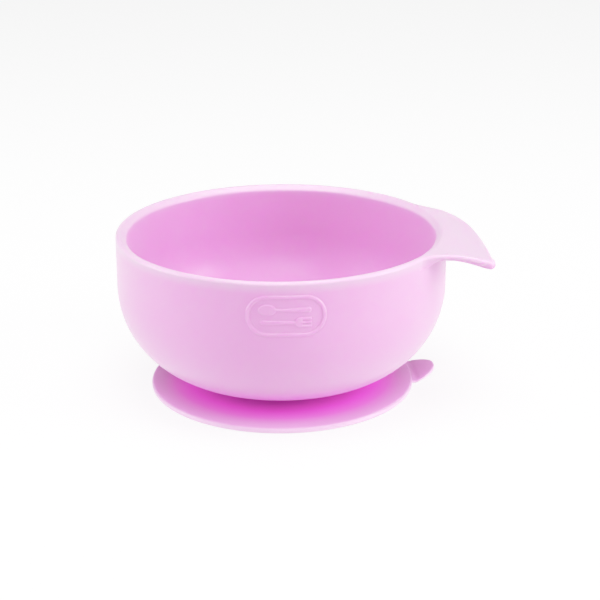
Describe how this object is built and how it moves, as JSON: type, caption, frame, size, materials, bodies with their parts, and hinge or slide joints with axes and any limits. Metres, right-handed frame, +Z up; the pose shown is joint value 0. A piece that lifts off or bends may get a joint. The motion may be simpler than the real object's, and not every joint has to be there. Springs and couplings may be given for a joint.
{
  "type": "suction bowl",
  "caption": "Soft silicone bowl with a side grip fin, on a flexible suction base with a pull tab that releases it from the table.",
  "frame": {"origin": "on the table plane under the sealing lip, on the bowl's axis", "axes": "+Z up out of the bowl, +X towards the grip and the pull tab, -Y towards the front with the emblem"},
  "size_m": [0.134, 0.1204, 0.0595],
  "materials": {
    "bowl_silicone": "satin pink silicone, slightly translucent",
    "base_silicone": "satin pink silicone, thin and slightly translucent"
  },
  "bodies": {
    "base": {"sealing_lip": "base_silicone"},
    "bowl": {"bowl": "bowl_silicone", "suction_hub": "base_silicone", "suction_skirt": "base_silicone"},
    "tab": {"pull_tab": "base_silicone"}
  },
  "joints": [
    {"name": "press_down", "type": "slide", "parent": "base", "child": "bowl", "axis": [0, 0, -1], "range_m": [0, 0.0025], "stiffness_N_per_m": 600, "springref_m": -0.003, "deforming": ["suction_skirt"]},
    {"name": "tab_lift", "type": "hinge", "parent": "base", "child": "tab", "pos_m": [0.04881, 0.00427, 0.002], "axis": [0.0872, -0.9962, 0], "range_deg": [0, 65], "stiffness_Nm_per_rad": 0.02}
  ]
}
